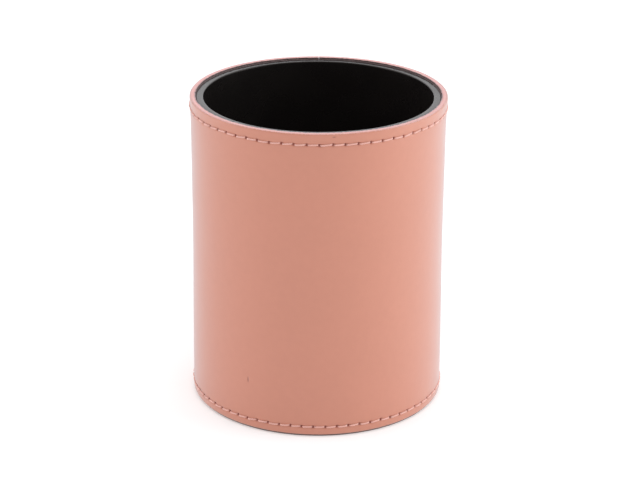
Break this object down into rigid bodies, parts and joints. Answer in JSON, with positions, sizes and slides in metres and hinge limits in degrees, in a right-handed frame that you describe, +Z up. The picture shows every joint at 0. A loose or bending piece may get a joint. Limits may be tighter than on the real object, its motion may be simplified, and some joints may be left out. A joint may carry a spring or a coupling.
{
  "type": "pen holder cup",
  "caption": "Round desk cup for pens: a stitched leather sleeve over a moulded plastic cup, open at the top, with a flat non-slip base.",
  "frame": {"origin": "centre of the underside, on the surface the cup stands on", "axes": "+Z up along the cup's axis, -Y towards the front, +Y towards the sleeve's butt joint"},
  "size_m": [0.0818, 0.0817, 0.1],
  "materials": {
    "leather": "smooth satin leather, salmon pink",
    "thread": "twisted polyester sewing thread, matched to the leather",
    "backing": "dark fibre board, cut edge",
    "cup_plastic": "black moulded plastic, satin",
    "glue": "dried contact adhesive film",
    "pad": "dark non-slip foam pad, matte"
  },
  "bodies": {
    "root": {"inner_cup": "cup_plastic", "adhesive_sleeve": "glue", "backing_wrap": "backing", "leather_wrap": "leather", "base_adhesive": "glue", "base_pad": "pad", "top_needle_thread": "thread", "top_bobbin_thread": "thread", "bottom_needle_thread": "thread", "bottom_bobbin_thread": "thread", "left_seam_needle_thread": "thread", "left_seam_bobbin_thread": "thread", "right_seam_needle_thread": "thread", "right_seam_bobbin_thread": "thread"}
  },
  "joints": []
}
